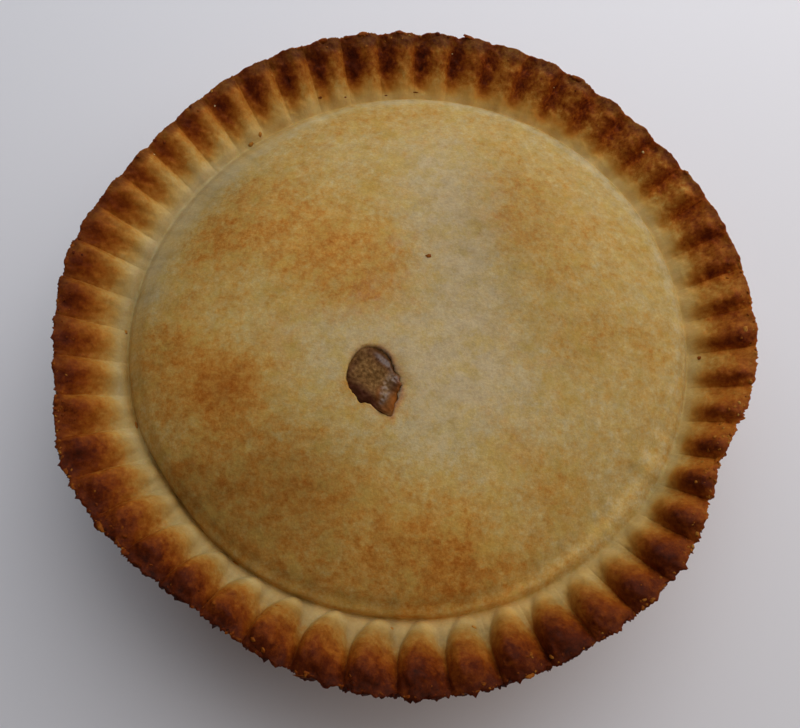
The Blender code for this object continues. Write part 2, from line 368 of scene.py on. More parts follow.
# The places, widths and amounts of three kinds of crimp: soft ones have low backs and wide
# creases, crisp ones have U-shaped tips, and on the near side the tips skew less.
SOFT_SIDE = ((50, 60, 1.0), (150, 26, 0.6), (200, 20, 0.5), (340, 25, 0.3))
CRISP_SIDE = ((265, 42, 1.0),)
NEAR_SIDE = ((285, 50, 1.0),)
dough = np.random.default_rng(5)
crimp_tallness = 1.0 + dough.normal(0.0, 0.09, CRIMPS)
crimp_length = dough.normal(0.0, 0.05, CRIMPS)
crimp_bake = dough.normal(0.0, 0.035, CRIMPS)


def crimp_number(angle):
    """Which crimp an angle falls in, counted clockwise from the first crease."""
    return np.floor((FIRST_CREASE - angle) / PITCH).astype(int) % CRIMPS


def crimp_phase(angle):
    """0 to 1 from crease to crease, clockwise, on evenly spaced crimps."""
    return (FIRST_CREASE - angle) / PITCH % 1.0


def crimp_across(phase, skew):
    """-1 in one crease, 0 on the back and 1 in the next crease: 2 phase^skew - 1."""
    return 2.0 * phase**skew - 1.0


def share_of_kind(turned, side):
    """How far the crimps at these angles are of a kind, from 0 to 1."""
    return np.clip(around(turned, side), 0.0, 1.0)


def crimp_rise(angle, along, turned):
    """The finger of one crimp, 0 in the creases and 1 on its back, as the text above says."""
    number = crimp_number(angle)
    back = share_of_kind(turned, NEAR_SIDE) * (1.0 - ease(along, 0.0, 0.6))
    across = crimp_across(crimp_phase(angle), CRIMP_SKEW - 0.7 * back)
    softness = share_of_kind(turned, SOFT_SIDE)
    crispness = share_of_kind(turned, CRISP_SIDE)
    length = FINGER_LENGTH - CRISP_SHORTER * crispness + crimp_length[number]
    end = np.clip((length - along) / (length + 0.10), 0.0, 1.0)
    slope = np.clip(1.0 - np.abs(across) ** 2.1, 0.0, 1.0) ** 0.62 * (1.0 - end**1.7)
    tip = np.clip(1.0 - np.abs(across) ** 1.9 - end**1.5, 0.0, 1.0) ** 0.7
    wave = (0.5 + 0.5 * np.cos(math.pi * across)) ** 0.8 * (1.0 - end**1.8)
    outer = 1.0 - 0.7 * ease(along, 0.74, 1.02) - 0.3 * ease(along, 1.0, 1.5)
    body = (1 - crispness) * slope + crispness * tip
    body = (1 - 0.85 * softness) * body + 0.4 * softness * wave
    return crimp_tallness[number] * body * np.clip(outer, 0.0, 1.0)


print("the crest of a crimp lies at", round(0.5 ** (1 / CRIMP_SKEW), 2), "of its width")

# %% The crumbly edge
CRACK_RADIUS = 53.4 * MM
CRACK_WIDTH = 0.24 * MM
CRACKED_SIDE = ((250, 40, 0.8 * MM),)  # how deep the lid's edge has come away there
LIP_RADIUS = 51.3 * MM
LIP_WIDTH = 0.45 * MM
LIP_SIDE = ((35, 40, 0.30 * MM),)  # how high the lid's crisp lip stands there
CRUMBLY_SIDE = ((250, 52, 1.0), (330, 30, 0.9), (205, 20, 0.5), (105, 14, 0.45), (62, 6, 0.4))


def edge_crumble(points, along, turned):
    """How far crumbs stand out of the edge, from two sizes of noise, where it is crumbly."""
    coarse = waves(points, 2.2 * MM, 21)
    fine = waves(points, 0.9 * MM, 22)
    near_edge = ease(along, 0.8, 1.0) * (1.0 - ease(along, 1.25, 1.6))
    crumbly = np.clip(around(turned, CRUMBLY_SIDE), 0.12, 1.1)
    return near_edge * crumbly * (0.14 * coarse + 0.2 * (np.abs(fine) - 0.8)) * MM


print("most crumbly at", CRUMBLY_SIDE[0][0], "degrees")

# %% [markdown]
# ## The crust
#
# The stack of rings starts in the middle of the hollow inside the case, climbs its wall,
# runs in under the lid and up through the steam hole, and then follows the profile over
# the lid, the brim and the wall to the middle of the base.

# %% Rings of the outside
def lid_lumps(x, y):
    """The height that the lid's swellings and hollows add."""
    return sum(
        height * np.exp(-((x - at_x) ** 2 + (y - at_y) ** 2) / (2 * size**2))
        for at_x, at_y, size, height in LID_LUMPS
    )


def outside_ring(values, every):
    """A ring of the outside from its profile values, taking every so many columns."""
    angle = even_angle[::every]
    turned = turned_angle[::every]
    along = np.full(len(angle), values["along"])
    rise = np.where(along > -0.2, crimp_rise(angle, along, turned), 0.0)
    swell = CRIMP_HEIGHT * rise * (1.0 - ease(along, 1.0, 2.0))
    bulge = np.sin(math.pi * crimp_phase(angle) ** CRIMP_SKEW) ** 0.6 - 0.5
    radius = values["radius"] - CRIMP_LEAN * swell
    radius = radius + values["edge"] * around(turned, EDGE_SWELLINGS)
    softness = share_of_kind(turned, SOFT_SIDE)
    radius += values["scallop"] * CRIMP_SCALLOP * bulge * (1.0 - 0.5 * softness)
    radius += values["groove"] * around(turned, GROOVE_SHIFTS)
    radius += values["shoulder"] * around(turned, SHOULDER_SHIFTS)
    z = values["height"] + swell + values["groove"] * around(turned, GROOVE_RISES)
    if values["along"] > 0.7:
        crumble = edge_crumble(points_round(radius, turned, z), along, turned)
        radius += crumble
        z += 0.4 * crumble
    if values["along"] > -0.2:
        spots = points_round(radius, turned, z)
        flakes = 0.07 * waves(spots, 1.3 * MM, 31, 32) + 0.10 * waves(spots, 3.5 * MM, 32, 32)
        z = z + flakes * MM * ease(along, -0.1, 0.2) * (1.0 - ease(along, 1.0, 2.0))
    crack = bell(values["radius"] - CRACK_RADIUS, CRACK_WIDTH)
    uneven = np.tanh(1.5 * waves(points_round(CRACK_RADIUS, turned, 0.0), 8.0 * MM, 33))
    z = z - crack * (0.55 + 0.45 * uneven) * around(turned, CRACKED_SIDE)
    if values["along"] < -0.2:
        z = z + bell(values["radius"] - LIP_RADIUS, LIP_WIDTH) * around(turned, LIP_SIDE)
    ring = points_round(radius, turned - np.degrees(SIDE_LEAN * swell / radius), z)
    if values["along"] < -0.2:
        lid = 1.0 - ease(values["radius"], 46.0 * MM, 51.0 * MM)
        ring[:, 2] += lid * lid_lumps(ring[:, 0], ring[:, 1])
    return ring


def hole_ring(height, every, widen=0.0):
    """The steam hole's outline at a height, torn by noise, and wider by an amount."""
    angle = even_angle[::every]
    radius = HOLE_RADIUS + around(angle, HOLE_TEARS)
    radius = radius * (1.0 + HOLE_FLARE * (height - LID_TOP) / PASTRY) + widen
    torn = waves(points_round(HOLE_RADIUS, angle, 0.0), 1.1 * MM, 35)
    radius = radius + (0.04 + around(angle, RAGGED_SIDE)) * MM * torn
    return points_round(radius, angle, height) + [*HOLE_CENTRE, 0.0]


def lid_ring(way, every):
    """A ring of the lid: a straight blend from the hole's outline to the core's circle."""
    hole = hole_ring(LID_TOP, every, widen=0.2 * MM)
    turned = turned_angle[::every]
    x, y, _ = ((1 - way) * hole + way * points_round(LID_CORE, turned, LID_TOP)).T
    from_hole = np.hypot(x - hole[:, 0], y - hole[:, 1])
    sunk = SUNK_RIM * (0.2 + bump(turned, 10, 40)) * np.exp(-((from_hole / (1.0 * MM)) ** 2))
    return np.column_stack([x, y, dome_height(np.hypot(x, y)) + lid_lumps(x, y) - sunk])


core_ways = np.linspace(0.0, 1.0, 25)[:-1] ** 1.5
lid_part = [lid_ring(way, 6) for way in core_ways]
SHOULDER_AT = travel[4]
lid_distances = np.concatenate(
    [
        np.linspace(0.0, SHOULDER_AT - 1.0 * MM, 17)[:-1],
        np.linspace(SHOULDER_AT - 1.0 * MM, GROOVE_AT - 1.0 * MM, 15),
    ]
)
brim_distances = np.linspace(GROOVE_AT - 1.0 * MM, EDGE_AT + 2.6 * MM, 42)[1:]
under_distances = EDGE_AT + np.array([3.2, 4.2, 5.4, 7.0, 9.0]) * MM
wall_distances = np.linspace(EDGE_AT + 11.0 * MM, travel[-4], 16)
base_distances = np.concatenate([np.linspace(travel[-4], travel[-3], 3)[1:], travel[-2:]])


def outside_rings(distances, every):
    """The rings of the outside at these distances along the profile."""
    table = profile_at(distances)
    rows = [{key: table[key][k] for key in KEYS} for k in range(len(distances))]
    return [outside_ring(row, every) for row in rows]


outside = lid_part + outside_rings(lid_distances, 3) + outside_rings(brim_distances, 1)
outside += outside_rings(under_distances, 3) + outside_rings(wall_distances, 6)
outside += outside_rings(base_distances, 12)
print(len(outside), "rings on the outside")

# %% Rings of the hollow and of the steam hole
def wall_radius(height):
    """The radius of the case's straight slanting wall at a height."""
    slope = (WALL_TOP_RADIUS - WALL_FOOT_RADIUS) / (WALL_TOP_HEIGHT - WALL_FOOT_HEIGHT)
    return WALL_FOOT_RADIUS + slope * (height - WALL_FOOT_HEIGHT)


def hollow_profile(inset):
    """The hollow in the case, drawn in by an inset: radii with heights, base to lid."""
    inner = PASTRY + inset
    across_wall = 1.1 * inner
    low = [
        (20 * MM, inner),
        (BASE_RADIUS - across_wall, inner),
        (wall_radius(5.4 * MM) - across_wall - 1.0 * MM, 5.4 * MM),
        (wall_radius(17.0 * MM) - across_wall, 17.0 * MM),
        (SHOULDER_RADIUS - 1.4 * MM - inset, GROOVE_HEIGHT - 0.7 * MM - inset),
    ]
    return low + [(radius, dome_height(radius) - inner) for radius in (44 * MM, 34 * MM, 24 * MM)]


def round_ring(radius, height, every):
    """A level circle about the pie's axis."""
    return points_round(radius, turned_angle[::every], height)


hollow = [round_ring(radius, height, 12) for radius, height in hollow_profile(0.0)]
ceiling = dome_height(16 * MM) - PASTRY  # under the lid, beside the steam hole
hollow += [hole_ring(ceiling, 12, widen=2 * MM), hole_ring(ceiling + 0.2 * MM, 6)]
hollow += [hole_ring(height * MM, 3) for height in (30.4, 31.2, 31.8, 32.2)]
print(len(hollow), "rings in the hollow")

# %% Skin the crust
crust_mesh = skin("pie_crust", hollow + outside, (0.0, 0.0, PASTRY), (0.0, 0.0, 0.0))


def place(name, what):
    """An object at the origin for a mesh, a light or a camera."""
    made = bpy.data.objects.new(name, what)
    bpy.context.scene.collection.objects.link(made)
    return made


def vertex_array(mesh):
    """The mesh's vertices as an array with a row for each."""
    points = np.empty(len(mesh.vertices) * 3)
    mesh.vertices.foreach_get("co", points)
    return points.reshape(-1, 3)


crust = place("pie_crust", crust_mesh)
print("crust", [round(1000 * v, 1) for v in crust.dimensions], "mm")

# %% [markdown]
# ## Where the crust is browned
#
# An oven browns what stands proud: the backs of the crimps turn brown and their edge
# nearly black, while the groove and the creases stay cream. The lid is pale with toasted
# patches. The script gives every vertex a browning from 0, pale, to 1, nearly burnt, and a
# few more marks that the material reads: how bright the crust is there, which is mostly
# painted light and shade with some streaks and darker soaked patches, how floury, how flaky
# and how grainy. The lid's marks are ovals, each a bell curve in two directions.

# %% Toasted and pale patches of the lid
LID_TONE = 0.16
LID_PATCHES = (  # x, y, width and depth in millimetres, and how much more browned
    (-24, 10, 12, 7, 0.14),
    (-10, 7, 8, 5, 0.13),
    (-40, 12, 6, 7, 0.07),
    (-44, -14, 7, 6, 0.18),
    (-31, -18, 4.5, 3.5, 0.22),
    (-32, -24, 9, 8, 0.12),
    (-14, -36, 13, 7, 0.17),
    (-28, -38, 9, 8, 0.08),
    (10, -45, 10, 6, 0.22),
    (-8, -48, 16, 5, 0.08),
    (28, -31, 4, 3, 0.10),
    (20, -25, 5, 3, 0.07),
    (34, 2, 6, 6, 0.06),
    (46, -6, 3, 8, 0.05),
    (20, 19, 6, 9, 0.06),
    (-33, 23, 7, 8, 0.05),
    (4, 28, 7, 12, -0.11),
    (8, 6, 6, 7, -0.10),
    (8, -12, 10, 7, -0.14),
    (-10, -6.5, 8, 2.5, -0.10),
    (-32, -6, 5, 2.5, -0.05),
    (-14, -12, 4, 4, -0.08),
    (-50, 15, 4, 22, -0.10),
    (-12, 35, 8, 5, -0.05),
    (-10, 47, 12, 3, 0.04),
    (34, -14, 10, 8, -0.03),
    (-8, 42, 10, 4, 0.10),
    (-26, 36, 7, 5, 0.08),
    (16, 36, 6, 5, 0.09),
    (-8, 24, 6, 6, 0.07),
    (16, 22, 8, 7, 0.07),
    (34, 24, 6, 7, 0.06),
    (-26, 18, 6, 5, 0.07),
    (-5, 0, 5, 4, 0.09),
    (-20, -6, 6, 4, 0.10),
    (-44, -6, 5, 5, 0.07),
    (28, -6, 6, 5, 0.07),
    (-32, -18, 4, 4, 0.05),
    (-41, 32, 4, 4, -0.08),
    (-47, 21, 3, 4, -0.06),
    (-35, 27, 6, 5, 0.05),
    (-44, 9, 4, 5, 0.10),
    (10, -42, 5, 3, 0.07),
    (40, 30, 4, 4, -0.08),
    (30, 40, 6, 4, -0.06),
    (4, -24, 7, 5, -0.09),
    (0, -48, 22, 4, -0.06),
)
LID_BLOOM = (  # the same, for how pale and floury the skin is
    (3, 30, 8, 12, 0.7),
    (8, 8, 8, 12, 0.6),
    (8, -13, 15, 10, 0.8),
    (-16, -8, 10, 5, 0.4),
    (-20, 32, 8, 8, 0.3),
    (34, 26, 8, 10, 0.3),
)
TOASTED = ((-33, -17, 5, 4, 0.65),)  # orange right through, with little paler grain in it
# Much of LID_SHADE is painted light and shade where the lid's slopes turn to or from the light; the
# rest is darker soaked pastry.
LID_SHADE = (  # the same, for how much brighter or darker
    (14, 20, 8, 12, -0.18),
    (28, 0, 9, 8, -0.10),
    (-18, 13, 9, 7, 0.12),
    (8, -38, 12, 9, 0.24),
    (-20, -39, 12, 7, -0.16),
    (-33, -10, 12, 7, 0.10),
    (-33, -17, 6, 5, 0.03),
    (-40, 22, 6, 7, -0.12),
    (-6, -50, 14, 3, -0.04),
    (-34, -37, 5, 4, -0.18),
    (-18, -31, 7, 5, -0.12),
    (4, -44, 6, 4, -0.10),
)
print(len(LID_PATCHES), "patches on the lid")

# %% Bands along the edge of the lid
# The pale lip at 30 and 95 degrees is partly unbrowned pastry and partly a painted highlight where
# the crisp lip catches the light; the band at 242 degrees is partly browning and partly painted
# shade on the shoulder turned from the light.
LID_BANDS = (  # angle, width, radius, depth and how much more browned: a pale slope and lip
    (150, 24, 50.5, 3.0, -0.15),
    (30, 42, 51.3, 0.9, -0.14),
    (95, 34, 51.3, 0.9, -0.10),
    (242, 38, 50.0, 2.2, 0.06),
)
# RIM_SHADE darkens the lid's left edge, partly as painted shade on its slope and partly as darker
# soaked pastry, paints shade over a bright line at the groove on the upper left, and paints light
# into the near groove where the lid's shadow falls.
RIM_SHADE = (  # the same, for how much brighter or darker
    (185, 38, 49.5, 4.0, -0.16),
    (285, 28, 53.2, 0.8, 0.35),
    (148, 24, 55.5, 1.0, -0.22),
)
PLAIN_SLOPE = ((152, 30, 0.85),)  # where the lid's slope is as smooth as the brim
SLOPE_RADIUS = 50.3
STAINED_SIDE = ((60, 32, 0.45), (0, 30, 0.55), (-45, 25, 0.25))  # gravy round the hole
STAIN_REACH = 0.7 * MM


def lid_rim(spots, bands):
    """The sum of bell curves (angle, width, radius, depth, amount) along the lid's shoulder."""
    angle = np.degrees(np.arctan2(spots[:, 1], spots[:, 0]))
    radius = (np.hypot(spots[:, 0], spots[:, 1]) - around(angle, SHOULDER_SHIFTS)) / MM
    return sum(
        amount * bump(angle, centre, width) * bell(radius - at_radius, deep)
        for centre, width, at_radius, deep, amount in bands
    )


def ovals(spots, rows):
    """The sum of oval bell curves (x, y, length, width, amount and, if any, slant) in mm.

    The amount falls off along and across each oval's length, which the slant, in degrees,
    turns away from X.
    """
    field = np.zeros(len(spots))
    for at_x, at_y, long, wide, amount, *slant in rows:
        turn = math.radians(sum(slant))
        dx, dy = spots[:, 0] / MM - at_x, spots[:, 1] / MM - at_y
        down = dx * math.cos(turn) + dy * math.sin(turn)
        over = dy * math.cos(turn) - dx * math.sin(turn)
        field += amount * bell(down, long) * bell(over, wide)
    return field


print(len(LID_BANDS), "bands along the lid's edge")

# %% [markdown]
# ## How the brim is baked
#
# The table below has a row for every thirty degrees, because the tin and the oven brown
# each side differently and the light falls differently on each. Every crimp has a dark band,
# with a place and a width between its creases. The band's place turns once round the pie
# with the light, so its dark is partly browning and partly painted shade on the flank turned
# from the light. The band darkens from a place along the brim, over a length, to its tone.
# So does the paler lobe beside it. Then come the tones of the inner ends and of the rim,
# and how bright the inner ends, the bands, the lobes and the rim are for their tone, which
# is painted light and shade.

# %% The table of the brim's baking
BAKED_COLUMNS = ("place", "width", "dark_from", "dark_over", "dark", "lobe_from", "lobe_over")
BAKED_COLUMNS += ("lobe", "inner", "rim", "inner_light", "dark_light", "lobe_light", "rim_light")
BAKED_ROUND = (
    (0, -0.22, 0.17, -0.14, 0.72, 0.77, -0.10, 0.72, 0.50, 0.06, 0.56, 1.08, 1.15, 0.98, 0.95),
    (30, -0.06, 0.17, -0.08, 0.68, 0.73, -0.06, 0.62, 0.54, 0.02, 0.60, 1.46, 1.18, 1.05, 0.58),
    (60, 0.01, 0.16, -0.10, 0.55, 0.78, -0.10, 0.60, 0.54, 0.08, 0.58, 1.42, 1.22, 1.04, 0.50),
    (90, 0.15, 0.16, -0.06, 0.50, 0.88, -0.10, 0.66, 0.54, 0.10, 0.58, 1.40, 1.15, 0.98, 0.44),
    (120, 0.27, 0.16, -0.04, 0.64, 0.88, 0.02, 0.60, 0.50, 0.11, 0.58, 1.27, 1.15, 0.92, 0.44),
    (150, 0.20, 0.17, -0.04, 0.95, 0.80, 0.04, 0.85, 0.45, 0.06, 0.56, 1.27, 1.20, 1.00, 0.56),
    (180, 0.34, 0.20, 0.03, 0.88, 0.88, 0.05, 0.80, 0.58, 0.07, 0.70, 1.06, 1.10, 0.68, 0.60),
    (210, 0.39, 0.24, 0.06, 0.76, 0.86, 0.10, 0.80, 0.66, 0.09, 0.80, 0.98, 1.04, 0.80, 0.95),
    (240, 0.45, 0.30, 0.04, 0.88, 0.87, 0.20, 0.78, 0.84, 0.10, 0.90, 0.92, 0.84, 0.88, 0.95),
    (270, 0.50, 0.32, 0.04, 0.80, 0.86, 0.26, 0.58, 0.82, 0.10, 0.90, 0.90, 0.90, 1.00, 0.75),
    (300, 0.60, 0.30, -0.02, 0.76, 0.86, 0.24, 0.66, 0.80, 0.11, 0.90, 1.06, 0.86, 1.00, 0.85),
    (330, 0.70, 0.22, -0.08, 0.62, 0.80, 0.00, 0.75, 0.54, 0.16, 0.64, 0.90, 0.82, 1.05, 1.12),
    (360, 0.78, 0.17, -0.14, 0.72, 0.77, -0.10, 0.72, 0.50, 0.06, 0.56, 1.08, 1.15, 0.98, 0.95),
)
print(len(BAKED_ROUND) - 1, "rows of", len(BAKED_COLUMNS), "values")

# %% The finish of the brim
FLAKY_SIDE = ((65, 55, 0.7), (250, 42, 0.35))  # where the backs are mottled with flakes
# The dark rim is partly browning and partly painted shade, through the rim and rim_light columns.
EARLY_RIM = ((95, 38, 0.14),)  # how much further in the dark rim starts there
# Painted light: the creases are drawn lighter than the backs there.
CREASE_LIGHT = ((35, 42, 0.45),)  # the creases show lighter than the backs there
MIDDLE_SHADE = ((285, 50, -0.24),)  # the fingers' middles turn from the light there


def baked_round(turned):
    """The columns of BAKED_ROUND at these angles, straight between its rows."""
    table = np.array(BAKED_ROUND, float)
    at = turned % 360.0
    return {key: np.interp(at, table[:, 0], table[:, 1 + k]) for k, key in enumerate(BAKED_COLUMNS)}


def brim_finish(angle, along, turned):
    """The crimps' tone and painted light and shade: cream at the inner ends, soonest dark in the
    bands.
    """
    baked = baked_round(turned)
    beside = (crimp_phase(angle) - baked["place"] + 0.5) % 1.0 - 0.5
    band = bell(beside, baked["width"])
    tone = baked["inner"] + crimp_bake[crimp_number(angle)] * ease(along, 0.2, 0.5)
    for share_of, kind in ((band, "dark"), (1.0 - band, "lobe")):
        way = np.clip((along - baked[kind + "_from"]) / baked[kind + "_over"], 0.0, 1.0)
        tone = tone + share_of * (baked[kind] - baked["inner"]) * (1.0 - (1.0 - way) ** 1.3)
    early = around(turned, EARLY_RIM)
    rim = ease(along, 0.84 - early, 0.98 - early)
    tone = tone + (0.8 - 0.4 * band) * rim * (baked["rim"] - tone)
    light = baked["inner_light"] + (1.0 - baked["inner_light"]) * ease(along, 0.05, 0.5)
    outer_light = band * baked["dark_light"] + (1.0 - band) * baked["lobe_light"]
    light = light * (1.0 - (1.0 - outer_light) * ease(along, 0.25, 0.6))
    crease = bell((crimp_phase(angle) + 0.5) % 1.0 - 0.5, 0.1)
    light = light * (1.0 + crease * around(turned, CREASE_LIGHT) * ease(along, 0.2, 0.4))
    middle = ease(along, 0.05, 0.2) * (1.0 - ease(along, 0.42, 0.62))
    light = light * (1.0 + middle * around(turned, MIDDLE_SHADE))
    return tone, light * (1.0 - (1.0 - 0.3 * band) * rim * (1.0 - baked["rim_light"]))


print("the brim's bands are darkest near", BAKED_ROUND[5][0], "degrees")

# %% Where each vertex lies on the profile and round the pie
points = vertex_array(crust_mesh)
ring_sizes = [len(ring) for ring in hollow + outside]
column = np.concatenate([[0]] + [np.arange(0, FINE, FINE // count) for count in ring_sizes] + [[0]])
ring_along = [-1.0] * (len(hollow) + len(lid_part))
for distances in (lid_distances, brim_distances, under_distances, wall_distances, base_distances):
    ring_along += profile_at(distances)["along"].tolist()
along = np.concatenate([[-1.0], np.repeat(ring_along, ring_sizes), [7.0]])
even, turned = even_angle[column], turned_angle[column]
reach = np.hypot(points[:, 0], points[:, 1])
past_shoulder = (reach - around(turned, SHOULDER_SHIFTS)) / MM - SLOPE_RADIUS
slope = around(turned, PLAIN_SLOPE) * ease(past_shoulder, -2.0, 1.5)
on_lid = (1.0 - ease(along, -0.3, 0.0)) * (1.0 - slope)
on_top = points[:, 2] > 20 * MM
print(int(on_top.sum()), "of", len(points), "vertices are on top of the pie")

# %% Bloom, grain, flakes and flour
bloom = on_lid * (0.15 + ovals(points, LID_BLOOM))
keep_value(crust_mesh, "bloom", np.clip(bloom, 0.0, 1.0))
keep_value(crust_mesh, "grain", on_lid * (1.0 - ovals(points, TOASTED)))
flaky = (0.3 + around(turned, FLAKY_SIDE)) * ease(along, 0.05, 0.35)
keep_value(crust_mesh, "flaky", 0.72 * on_lid + (1 - on_lid) * flaky)
valley = 1.0 - ease(crimp_rise(even, along, turned), 0.05, 0.5)
floury_way = ease(along, -0.2, -0.1) * (1 - ease(along, 0.2, 0.7))
keep_value(crust_mesh, "flour", 0.7 * valley * floury_way * share_of_kind(turned, CRISP_SIDE))
print("the bloom is strongest where it is", round(float(bloom.max()), 2))

# %% Brightness of each vertex, mostly painted light and shade
brim_tone, brim_light = brim_finish(even, along, turned)
past_lip = ease(along, -1.0, -0.1) * (1.0 - ease(along, 1.15, 1.5))
on_circle = points_round(50 * MM, turned, 0.0)
streaks = 0.5 * waves(on_circle, 1.5 * MM, 41) + 0.5 * waves(on_circle, 4.0 * MM, 42)
streaked = ease(past_shoulder, -1.5, 0.5) * (1.0 - ease(along, 0.15, 0.5))
shade = ovals(points, LID_SHADE) * (along < -0.5) + lid_rim(points, RIM_SHADE)
shade += (brim_light - 1.0) * past_lip + 0.08 * streaks * streaked
keep_value(crust_mesh, "shade", 1.0 + shade * on_top)
print("brightness from", round(1 + float(shade.min()), 2), "to", round(1 + float(shade.max()), 2))

# %% Browning of each vertex
from_hole = points[:, :2] - HOLE_CENTRE
hole_angle = np.degrees(np.arctan2(from_hole[:, 1], from_hole[:, 0]))
from_rim = np.hypot(*from_hole.T) - HOLE_RADIUS - around(hole_angle, HOLE_TEARS)
stain = np.exp(-np.clip(from_rim, 0.0, None) / STAIN_REACH)
stain *= (0.2 + around(hole_angle, STAINED_SIDE)) * (points[:, 2] > 28 * MM)
lid_tone = LID_TONE + ovals(points, LID_PATCHES) + lid_rim(points, LID_BANDS) + stain
side_tone = 0.42 + 0.25 * np.exp(-np.clip(along - 1.2, 0, None) / 0.6)
on_brim = ease(along, -0.1, 0.1)
below = ease(along, 1.15, 1.5)
browning = (1 - on_brim) * lid_tone + on_brim * ((1 - below) * brim_tone + below * side_tone)
keep_value(crust_mesh, "browning", browning)
print("browning from", round(float(browning.min()), 2), "to", round(float(browning.max()), 2))

# %% [markdown]
# ## The finish of the pastry
#
# One material covers the whole crust. A colour ramp goes from raw cream to nearly burnt,
# and the browning of each vertex, mottled by noise from fine grain to wide blotches, picks
# the colour. The other marks mix in pale flour and grain and set how bright it is. Short
# helpers first: each adds one node and hands back its output, so that a material reads
# like a sum.

# %% Helpers that add nodes
def add_node(tree, kind, settings=None, **inputs):
    """A node with its settings and inputs; an input that is a socket is linked."""
    node = tree.nodes.new(kind)
    for key, value in (settings or {}).items():
        setattr(node, key, value)
    for key, value in inputs.items():
        numbered = key[0] == "i" and key[1:].isdigit()
        socket = node.inputs[int(key[1:]) if numbered else key]
        if isinstance(value, bpy.types.NodeSocket):
            tree.links.new(value, socket)
        else:
            socket.default_value = value
    return node


def new_material(name):
    """A node material with an empty tree, and its tree."""
    made = bpy.data.materials.new(name)
    made.use_nodes = True
    made.node_tree.nodes.clear()
    return made, made.node_tree


def shader_of(tree, **inputs):
    """A Principled shader joined to the material's output; spaces in names are underscores."""
    named = {name.replace("_", " "): value for name, value in inputs.items()}
    shader = add_node(tree, "ShaderNodeBsdfPrincipled", **named)
    out = add_node(tree, "ShaderNodeOutputMaterial")
    tree.links.new(shader.outputs[0], out.inputs[0])


def mark_of(tree, name):
    """A mark that keep_value left on the mesh."""
    return add_node(tree, "ShaderNodeAttribute", {"attribute_name": name}).outputs["Fac"]


def noise_of(tree, scale, detail, roughness=0.5, distortion=0.0):
    """Noise from 0 to 1 over the object, with so many blotches to the metre."""
    coords = add_node(tree, "ShaderNodeTexCoord").outputs["Object"]
    inputs = {"Scale": scale, "Detail": detail, "Roughness": roughness, "Distortion": distortion}
    return add_node(tree, "ShaderNodeTexNoise", Vector=coords, **inputs).outputs["Fac"]


def bump_of(tree, height, strength, distance):
    """The normal that a height gives the surface."""
    inputs = {"Strength": strength, "Distance": distance, "Height": height}
    return add_node(tree, "ShaderNodeBump", **inputs).outputs["Normal"]


def math_of(tree, operation, first, *others):
    """The outcome of a Math node, or of a chain of them over more than two values."""
    for value in others:
        node = add_node(tree, "ShaderNodeMath", {"operation": operation}, i0=first, i1=value)
        first = node.outputs[0]
    return first


def ramp_of(tree, factor, stops):
    """The output colour of a ramp with (place, colour) stops, colours in linear light."""
    ramp = add_node(tree, "ShaderNodeValToRGB", Fac=factor)
    elements = ramp.color_ramp.elements
    while len(elements) < len(stops):
        elements.new(0.5)
    for element, (place_at, colour) in zip(elements, stops):
        element.position = place_at
        element.color = (*colour, 1.0)
    return ramp.outputs["Color"]


def mix_of(tree, factor, first, second, blend="MIX"):
    """The output of a colour Mix node; a colour is a socket or three numbers."""
    settings = {"data_type": "RGBA", "blend_type": blend}
    mix = add_node(tree, "ShaderNodeMix", settings, i0=factor)
    for socket, value in ((mix.inputs[6], first), (mix.inputs[7], second)):
        if isinstance(value, bpy.types.NodeSocket):
            tree.links.new(value, socket)
        else:
            socket.default_value = (*value, 1.0)
    return mix.outputs[2]


def range_of(tree, value, low, high, bottom=0.0, top=1.0):
    """A value between low and high carried over to between bottom and top, smoothly."""
    ends = {"i1": low, "i2": high, "i3": bottom, "i4": top}
    settings = {"interpolation_type": "SMOOTHSTEP"}
    return add_node(tree, "ShaderNodeMapRange", settings, Value=value, **ends).outputs[0]


print("helpers for nodes are ready")

# %% Pastry material
BAKED_TONES = (  # browning from 0 to 1, and its colour in linear light
    (0.00, (0.50, 0.385, 0.200)),
    (0.12, (0.49, 0.340, 0.130)),
    (0.25, (0.47, 0.270, 0.070)),
    (0.38, (0.43, 0.185, 0.030)),
    (0.52, (0.33, 0.100, 0.010)),
    (0.68, (0.20, 0.040, 0.0030)),
    (0.84, (0.090, 0.0125, 0.0013)),
    (1.00, (0.030, 0.0045, 0.0010)),
)
FLOUR_COLOUR = (0.50, 0.38, 0.23)
GRAIN_COLOUR = (0.45, 0.30, 0.07)
DUST_COLOUR = (0.46, 0.31, 0.13)


